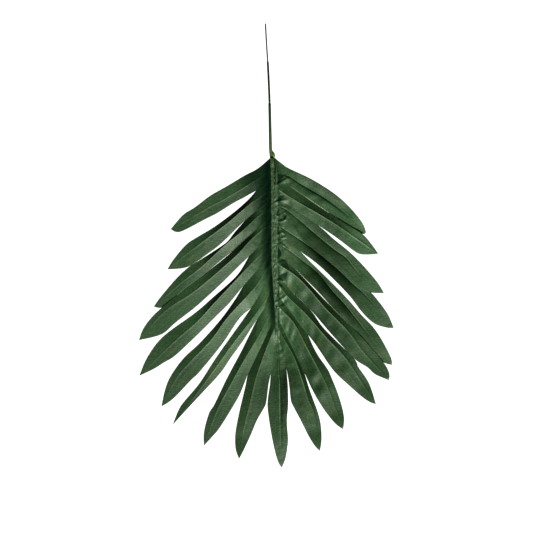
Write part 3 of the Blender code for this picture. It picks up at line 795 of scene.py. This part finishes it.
def pillow(index, station, across):
    """How far the cloth bulges between its crease and inner edge, in soft steps."""
    most = PILLOWS.get(index, 0.0)
    if not most or across > 0:
        return 0.0
    swell = ripples(station, across, 1.2, 0.8, index * 3.7)
    fade = ease((station - 1) / 2) * ease((12 - station) / 4)
    return most * 2 * swell * fade * math.sin(math.pi * -across)


def channel_wrinkles(x, y, share):
    """Crinkles over the midrib."""
    fade = math.sin(math.pi * share)
    crinkle = 1 - abs(ripples(x, y, 0.4, 0.22, 1.7)) * 4
    fine = 1 - abs(ripples(x, y, 0.6, 0.38, 5.2)) * 4
    return fade * (CRINKLES * crinkle + FINE_CRINKLES * fine)


def channel_groove(y, share):
    """How deep the groove between the two ridges at the channel's upper end is here."""
    middle = GROOVE_PLACE + GROOVE_SWING * ease((y - 60) / 16)
    return ease((y - GROOVE_FROM) / 4) * math.exp(-(((share - middle) / GROOVE_WIDTH) ** 2))


def half_point(middle, edge, share, leaflet, ridge, outer=False):
    """A point at a share of the way from the crease to an edge."""
    spot = Vector(middle).lerp(Vector(edge), share)
    first, crease, second, _ = leaflet["heights"]
    if crease < (first + second) / 2:
        pinched = 1 - (1 - share) ** PINCHES[outer]
        spot.z = middle[2] + (edge[2] - middle[2]) * pinched
    else:
        distance = math.hypot(edge[0] - middle[0], edge[1] - middle[1]) * share
        if outer:
            spot.z = edge[2] + (middle[2] - edge[2]) * (1 - share) ** OUTER_BEND
        spot.z += ridge * math.exp(-((distance / CREST_HALF_WIDTH) ** 2))
    return spot


def leaflet_rows(index):
    """Rows of points over a leaflet, and how far along and across it each one lies."""
    leaflet = LEAFLETS[index]
    first_cut = CUTS[index - 1] if index > 0 else None
    second_cut = CUTS[index] if index < len(CUTS) else None
    tip = Vector(leaflet["tip"])
    roots = leaflet_roots(index)
    lines = []
    for key, (root, _), cut in zip(("first", "crease", "second"), roots, (first_cut, None, second_cut)):
        through = [Vector(p) for p in leaflet[key]]
        lines.append(leaflet_line(root, through, tip, cut))
    first_height, crease_height, second_height, tip_height = leaflet["heights"]
    right = index > SIDE_COUNT
    first = edge_heights(roots[0][1], first_height, tip_height, first_cut, right)
    second = edge_heights(roots[2][1], second_height, tip_height, second_cut, right)
    shares = ROOTED_SHARE if index >= SIDE_COUNT - 1 else CREASE_SHARE
    if crease_height < (first_height + second_height) / 2:
        shares = VALLEY_SHARE
    rows = []
    for i, station in enumerate(ROW_STATIONS[:-1]):
        level = (first[i] + second[i]) / 2
        crease = level + (crease_height - level) * share_at(shares, station)
        flat = FLAT_MOST[right] * ease((station - FLAT_FROM) / (FLAT_TO - FLAT_FROM))
        first[i] += (crease - first[i]) * flat
        second[i] += (crease - second[i]) * flat
        if station < 1:
            crease = roots[1][1] + (crease - roots[1][1]) * station
        for side, cut in ((0, first_cut), (2, second_cut)):
            if cut and cut[1] < station < cut[1] + 3:
                beyond = station - cut[1]
                opening = cut[3] * min(beyond, 1 - (beyond - 1) / 2)
                back = (lines[1][i] - lines[side][i]).normalized()
                lines[side][i] = lines[side][i] + back * opening
        near = (*lines[0][i], first[i])
        middle = (*lines[1][i], crease)
        far = (*lines[2][i], second[i])
        ridge = CREST_RIDGES[right] * ease(station / 1.5) * ease((STATIONS - station) / 2)
        row = []
        for share in (*HALF_COLUMNS[::-1], 0.0):
            row.append((half_point(middle, near, share, leaflet, ridge), -share))
        for share in HALF_COLUMNS:
            row.append((half_point(middle, far, share, leaflet, ridge, right), share))
        rows.append(row)
    return rows, Vector((tip.x, tip.y, tip_height))


cloth = bmesh.new()
LAYERS = ("along", "across", "midrib", "soaked", "edge_shade_and_fray", "tone", "crease_line")
layers = {name: cloth.verts.layers.float.new(name) for name in LAYERS}


def cloth_point(spot, **marks):
    """A point of the cloth, moved by the puckers and waves there, with its marks for the colours."""
    pocket = pocket_depth(spot.x, spot.y)
    lift = pucker_height(spot.x, spot.y) - POCKET_DEPTH * pocket
    lift += gathers(spot.x, spot.y) + cloth_waves(spot.x, spot.y)
    z = spot.z - CLOTH_SETTLING + lift
    point = cloth.verts.new(Vector((spot.x, spot.y, max(z, CLOTH_LOWEST))) * MM)
    # Pockets get painted shade.
    marks["soaked"] = max(marks.get("soaked", 0.0), POCKET_SHADE * pocket)
    for name, layer in layers.items():
        point[layer] = marks.get(name, 1.0 if name == "tone" else 0.0)
    return point


def painted_light_and_shade(index, station, across):
    """The painted light and shade at a place on a leaflet, as a factor on its colour."""
    place = index * (len(LIGHT_AND_SHADE_ROUND) - 1) / (len(LEAFLETS) - 1)
    before = min(int(place), len(LIGHT_AND_SHADE_ROUND) - 2)
    root, first, second, tip = (
        here + (beyond - here) * (place - before)
        for here, beyond in zip(LIGHT_AND_SHADE_ROUND[before], LIGHT_AND_SHADE_ROUND[before + 1])
    )
    side = ease(0.5 + across * 4)
    depth = first + (second - first) * side
    depth = root + (depth - root) * ease((station - LIGHT_AND_SHADE_ROOT_END) / LIGHT_AND_SHADE_BLEND)
    return depth + (tip - depth) * ease((station - LIGHT_AND_SHADE_TIP_START) / LIGHT_AND_SHADE_BLEND)


def crease_line(index, station, across):
    """How strong the painted highlight along a fold is (to 1), or its painted shade (to -1)."""
    first, crease, second, _ = LEAFLETS[index]["heights"]
    upper = across if index > SIDE_COUNT else -across
    if crease < (first + second) / 2:
        pale, dark, spread = VALLEY_LINES.get(index, VALLEY_LINE)
        strength = pale if upper > 0 else -dark if upper < 0 else 0.0
        strength *= ease((spread - abs(upper)) / 0.1)
        return strength * ease(station) * ease((STATIONS - station) / 6)
    width = ease((0.1 - abs(upper)) / 0.05) if upper < 0.02 else 0.0
    strength = CREST_LINES[index > SIDE_COUNT]
    return width * strength * ease(station / 0.5) * ease((STATIONS - station) / 8)


def edge_shade_and_fray_marks(index, station):
    """How the first and second edge are marked here: above 0 with painted shade, below 0 frayed and pale.
    """
    edge_marks = []
    for cut_index, edge in ((index - 1, 0), (index, 1)):
        cut = CUTS[cut_index] if 0 <= cut_index < len(CUTS) else None
        past_pale = (station - PALE_END) / 2
        if cut and station < cut[1]:
            edge_marks.append(0.0)
        elif (index, edge) in PALE_EDGES:
            edge_marks.append(-ease(-past_pale) if past_pale < 0 else PAST_PALE_SHADE * ease(past_pale))
        else:
            edge_marks.append(1.0)
    return edge_marks


def add_quads(grid):
    for upper, lower in zip(grid, grid[1:]):
        for i in range(len(upper) - 1):
            cloth.faces.new((upper[i], lower[i], lower[i + 1], upper[i + 1]))


root_edges = []
for index in range(len(LEAFLETS)):
    rows, tip_spot = leaflet_rows(index)
    grid = []
    for station, row in zip(ROW_STATIONS, rows):
        # Painted shade: a dark band left of the midrib that fades out along each leaflet, and a thin dark
        # line at the midrib's foot elsewhere.
        if index < SIDE_COUNT - 1:
            soaked = max(0.0, 1 - (station / SHADE_ENDS.get(index, SHADE_END)) ** 2)
        else:
            soaked = RAIL_SHADE * ease(1 - abs(station - RAIL_FOOT) / RAIL_FOOT)
        edge_marks = edge_shade_and_fray_marks(index, station)
        points = []
        for k, (spot, across) in enumerate(row):
            raw = edge_marks[0] if k == 0 else edge_marks[1] if k == len(row) - 1 else 0.0
            spot.z += pillow(index, station, across)
            marks = {"along": station / STATIONS, "across": across, "soaked": soaked, "edge_shade_and_fray": raw}
            marks["tone"] = painted_light_and_shade(index, station, across)
            marks["crease_line"] = crease_line(index, station, across)
            points.append(cloth_point(spot, **marks))
        grid.append(points)
    add_quads(grid)
    tip_point = cloth_point(tip_spot, along=1.0)
    for a, b in zip(grid[-1], grid[-1][1:]):
        cloth.faces.new((a, tip_point, b))
    root_edges.append([spot for spot, _ in rows[0]])

left_rail, right_rail = [], []
for k in range(SIDE_COUNT):
    start = 0 if k == 0 else 1
    left_rail += root_edges[k][start:]
    right_rail += root_edges[len(LEAFLETS) - 1 - k][::-1][start:]
channel = []
for a, b in zip(left_rail, right_rail):
    row = []
    for i in range(CHANNEL_COLUMNS + 1):
        share = i / CHANNEL_COLUMNS
        spot = a.lerp(b, share)
        groove = 0.0
        if 0 < i < CHANNEL_COLUMNS:
            groove = channel_groove(spot.y, share)
            spot.z += CHANNEL_ROUND * math.sin(math.pi * share) + channel_wrinkles(spot.x, spot.y, share)
            spot.z -= GROOVE_DEPTH * groove
        # The groove carries painted shade.
        row.append(cloth_point(spot, across=2 * share - 1, midrib=1.0, soaked=groove))
    channel.append(row)
add_quads(channel)
bmesh.ops.remove_doubles(cloth, verts=cloth.verts, dist=CLOTH_WELD * MM)
blade = finish_mesh("pressed_leaf_blade", cloth)
# The cloth is an open sheet, and its front has to face up.
if sum(face.normal.z for face in blade.data.polygons) < 0:
    blade.data.flip_normals()
thickness = blade.modifiers.new("cloth thickness", "SOLIDIFY")
thickness.thickness = CLOTH_THICKNESS * MM
thickness.offset = -1.0
thickness.use_even_offset = True

CLOTH_GREEN = (0.0165, 0.053, 0.0155, 1)
CLOTH_OLIVE = (0.031, 0.063, 0.019, 1)
MIDRIB_PALE = (0.05, 0.095, 0.043, 1)
PAINTED_HIGHLIGHT = (0.085, 0.14, 0.07, 1)
# Colour of the painted shade.
CLOTH_SHADE = (0.004, 0.02, 0.009, 1)
EDGE_SHADE = (0.006, 0.018, 0.007, 1)
EDGE_PALE = (0.24, 0.27, 0.16, 1)
CLOTH_ROUGHNESS = 0.54
CLOTH_GLOSS = 0.48
CREASE_SHOWS = 0.8
EDGE_SHADE_SHOWS = 0.8
PALE_EDGE_SHOWS = 0.9
SHADE_GLOSS = 0.12
SLANT_GLOSS = 0.08
PATCH_SCALE = 70
RIB_SCALE = 1.3
RIB_STRETCH = (2.5, 9.0, 1.0)
RIB_TONES = (0.5, 1.55)
MOTTLE_SCALE = 620
THREAD_SCALE = 330
THREAD_STRETCHES = ((1.0, 2.8, 1.0), (2.8, 1.0, 1.0))
THREADS_SHOW = 0.35
THREAD_DEPTH = 0.5


def feed(tree, socket, value):
    """Set a socket to a value, or link another socket to it."""
    if isinstance(value, bpy.types.NodeSocket):
        tree.links.new(value, socket)
    else:
        socket.default_value = value


def maths(tree, operation, first, second, clamp=False):
    node = add_node(tree, "ShaderNodeMath", operation=operation, use_clamp=clamp)
    feed(tree, node.inputs[0], first)
    feed(tree, node.inputs[1], second)
    return node.outputs["Value"]


def ranged(tree, value, start, end):
    """A value moved from one range to another."""
    node = add_node(tree, "ShaderNodeMapRange")
    feed(tree, node.inputs["Value"], value)
    node.inputs["From Min"].default_value, node.inputs["From Max"].default_value = start
    node.inputs["To Min"].default_value, node.inputs["To Max"].default_value = end
    return node.outputs["Result"]


def mixed(tree, share, first, second):
    node = add_node(tree, "ShaderNodeMix", data_type="RGBA")
    for key, value in (("Factor", share), ("A", first), ("B", second)):
        feed(tree, node.inputs[key], value)
    return node.outputs["Result"]


def scaled(tree, colour, amount):
    node = add_node(tree, "ShaderNodeVectorMath", operation="SCALE")
    feed(tree, node.inputs["Vector"], colour)
    feed(tree, node.inputs["Scale"], amount)
    return node.outputs["Vector"]


def stretched(tree, place, stretch):
    node = add_node(tree, "ShaderNodeMapping")
    feed(tree, node.inputs["Vector"], place)
    node.inputs["Scale"].default_value = stretch
    return node.outputs["Vector"]


def uneven(tree, place, scale, detail):
    node = add_node(tree, "ShaderNodeTexNoise")
    feed(tree, node.inputs["Vector"], place)
    node.inputs["Scale"].default_value = scale
    node.inputs["Detail"].default_value = detail
    return node.outputs["Fac"]


def painted(tree, layer):
    return add_node(tree, "ShaderNodeAttribute", attribute_name=layer).outputs["Fac"]


blade_cloth, tree, shader = new_material("pressed green cloth")
shader.inputs["Roughness"].default_value = CLOTH_ROUGHNESS
place = add_node(tree, "ShaderNodeTexCoord").outputs["Object"]
tone = painted(tree, "tone")
crease = painted(tree, "crease_line")
edge_shade_and_fray = painted(tree, "edge_shade_and_fray")
patches = ranged(tree, uneven(tree, place, PATCH_SCALE, 3), (0.5, 0.75), (0.0, 1.0))
# The tone scales the colour with the painted light and shade.
colour = scaled(tree, mixed(tree, patches, CLOTH_GREEN, CLOTH_OLIVE), tone)
# The cloth over the midrib channel is coloured paler.
colour = mixed(tree, painted(tree, "midrib"), colour, MIDRIB_PALE)
# Painted highlight along crests and on one side of valleys.
colour = mixed(tree, maths(tree, "MULTIPLY", crease, CREASE_SHOWS, clamp=True), colour, PAINTED_HIGHLIGHT)
# Painted shade: dark lines along valleys, and the marked shade in pockets, the groove and by the midrib.
in_fold = maths(tree, "MULTIPLY", crease, -CREASE_SHOWS, clamp=True)
darkened = maths(tree, "MAXIMUM", painted(tree, "soaked"), in_fold)
colour = mixed(tree, darkened, colour, CLOTH_SHADE)
# Painted shade along the cut edges, then the frayed pale edges.
colour = mixed(tree, maths(tree, "MULTIPLY", edge_shade_and_fray, EDGE_SHADE_SHOWS, clamp=True), colour, EDGE_SHADE)
colour = mixed(tree, maths(tree, "MULTIPLY", edge_shade_and_fray, -PALE_EDGE_SHOWS, clamp=True), colour, EDGE_PALE)
# Fine ribs run along each leaflet, and the weave takes the dye unevenly.
on_leaflet = add_node(tree, "ShaderNodeCombineXYZ")
feed(tree, on_leaflet.inputs["X"], painted(tree, "along"))
feed(tree, on_leaflet.inputs["Y"], painted(tree, "across"))
ribs = uneven(tree, stretched(tree, on_leaflet.outputs["Vector"], RIB_STRETCH), RIB_SCALE, 2)
mottle = maths(tree, "ADD", ribs, uneven(tree, place, MOTTLE_SCALE, 2))
colour = scaled(tree, colour, ranged(tree, mottle, (0.65, 1.35), RIB_TONES))
feed(tree, shader.inputs["Base Color"], colour)
# Starch leaves a dull gloss. It rises with the painted light of the tone and is least under the painted
# shade. Seen flat along the cloth, its threads break the gloss up.
gloss = maths(tree, "MULTIPLY", tone, CLOTH_GLOSS)
gloss = maths(tree, "MULTIPLY", gloss, ranged(tree, darkened, (0.0, 1.0), (1.0, SHADE_GLOSS)))
slant = add_node(tree, "ShaderNodeLayerWeight").outputs["Facing"]
gloss = maths(tree, "MULTIPLY", gloss, ranged(tree, slant, (0.3, 0.8), (1.0, SLANT_GLOSS)))
feed(tree, shader.inputs["Specular IOR Level"], gloss)
threads = [uneven(tree, stretched(tree, place, way), THREAD_SCALE, 3) for way in THREAD_STRETCHES]
grain = add_node(tree, "ShaderNodeBump")
grain.inputs["Strength"].default_value = THREADS_SHOW
grain.inputs["Distance"].default_value = THREAD_DEPTH * MM
feed(tree, grain.inputs["Height"], maths(tree, "ADD", *threads))
feed(tree, shader.inputs["Normal"], grain.outputs["Normal"])
blade.data.materials.append(blade_cloth)
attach(blade, "root")
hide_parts("leaf_blade")

# Glue bead: hot glue squeezed out beside the stem where the cloth is stuck to it, set in a small
# yellow green drop with a rounded, glossy skin.
BEAD_CENTRE = (6.3, 82.3, 2.1)
BEAD_HALF_SIZES = (1.4, 3.0, 1.6)
BEAD_TURN = 0.36
BEAD_SWELL = 0.1
BEAD_GREEN = (0.075, 0.18, 0.02, 1)
bead_mesh = bmesh.new()
bmesh.ops.create_uvsphere(bead_mesh, u_segments=40, v_segments=24, radius=1.0)
for point in bead_mesh.verts:
    swell = 1 + BEAD_SWELL * noise.noise(point.co * 1.3)
    point.co = Vector(point.co[i] * BEAD_HALF_SIZES[i] for i in range(3)) * swell
bmesh.ops.rotate(bead_mesh, verts=bead_mesh.verts, matrix=Matrix.Rotation(BEAD_TURN, 3, "Z"))
bmesh.ops.translate(bead_mesh, verts=bead_mesh.verts, vec=BEAD_CENTRE)
bmesh.ops.scale(bead_mesh, verts=bead_mesh.verts, vec=(MM, MM, MM))
bead = finish_mesh("set_glue_bead", bead_mesh)
glue, tree, shader = new_material("yellow green glue")
shader.inputs["Base Color"].default_value = BEAD_GREEN
shader.inputs["Roughness"].default_value = 0.45
bead.data.materials.append(glue)
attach(bead, "root")
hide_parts("glue_bead")

# Table: a plain matt white top, wide enough to fill the picture. To the camera it glows a little,
# so that the leaf's soft shadow all but goes.
TABLE_SIZE = 6.0
TABLE_GAP = 0.0001
TABLE_WHITE = (0.06, 0.06, 0.06, 1)
TABLE_GLOW = 0.97
bpy.ops.mesh.primitive_plane_add(size=TABLE_SIZE, location=(0, 0, -TABLE_GAP))
table = bpy.context.object
table.name = "table"
table_white, tree, shader = new_material("white table")
shader.inputs["Base Color"].default_value = TABLE_WHITE
shader.inputs["Roughness"].default_value = 0.9
shader.inputs["Emission Color"].default_value = (1, 1, 1, 1)
seen = add_node(tree, "ShaderNodeLightPath")
glow = add_node(tree, "ShaderNodeMath", operation="MULTIPLY")
glow.inputs[1].default_value = TABLE_GLOW
tree.links.new(seen.outputs["Is Camera Ray"], glow.inputs[0])
tree.links.new(glow.outputs["Value"], shader.inputs["Emission Strength"])
table.data.materials.append(table_white)

# Light: one large soft lamp low beyond the leaf's tip and a little to the right, with a weak even
# light from all round.
LAMP_SIZE = 0.9
LAMP_AIM = (0, -0.03, 0)
LAMP_DISTANCE = 2.0
LAMP_ELEVATION = math.radians(38)
LAMP_SWING = math.radians(18)
LAMP_POWER = 79
LAMP_TINT = (1.0, 0.98, 0.93)
ROUND_LIGHT = 0.055
lamp_data = bpy.data.lights.new("soft lamp", "AREA")
lamp_data.shape = "DISK"
lamp_data.size = LAMP_SIZE
lamp_data.energy = LAMP_POWER
lamp_data.color = LAMP_TINT
lamp = bpy.data.objects.new("soft lamp", lamp_data)
lamp_way = Vector(
    (
        math.cos(LAMP_ELEVATION) * math.sin(LAMP_SWING),
        -math.cos(LAMP_ELEVATION) * math.cos(LAMP_SWING),
        math.sin(LAMP_ELEVATION),
    )
)
lamp.location = Vector(LAMP_AIM) + lamp_way * LAMP_DISTANCE
lamp.rotation_euler = lamp_way.to_track_quat("Z", "Y").to_euler()
bpy.context.scene.collection.objects.link(lamp)
world = bpy.data.worlds.new("even light")
world.use_nodes = True
tree = world.node_tree
surround = tree.nodes["Background"]
surround.inputs["Color"].default_value = (1, 1, 1, 1)
# Past the table's edge the camera sees the same white.
seen = add_node(tree, "ShaderNodeLightPath")
strength = add_node(tree, "ShaderNodeMapRange")
strength.inputs["To Min"].default_value = ROUND_LIGHT
strength.inputs["To Max"].default_value = 1.0
tree.links.new(seen.outputs["Is Camera Ray"], strength.inputs["Value"])
tree.links.new(strength.outputs["Result"], surround.inputs["Strength"])
bpy.context.scene.world = world

# Camera: straight above the table, with a long lens, far enough off that the leaf looks flat. Its
# square picture covers 481 mm of the table, and is set a little lighter, with deeper darks.
VIEW_WIDTH = 0.4813
VIEW_CENTRE = (0.0001, -0.0188)
LENS = 200
SENSOR = 36
VIEW_EXPOSURE = 0.3
VIEW_GAMMA = 0.86
camera_data = bpy.data.cameras.new("camera")
camera_data.lens = LENS
camera_data.sensor_width = SENSOR
camera = bpy.data.objects.new("camera", camera_data)
camera.location = (*VIEW_CENTRE, VIEW_WIDTH * LENS / SENSOR)
bpy.context.scene.collection.objects.link(camera)
bpy.context.scene.camera = camera
view = bpy.context.scene.view_settings
view.view_transform = "Standard"
view.exposure = VIEW_EXPOSURE
view.gamma = VIEW_GAMMA
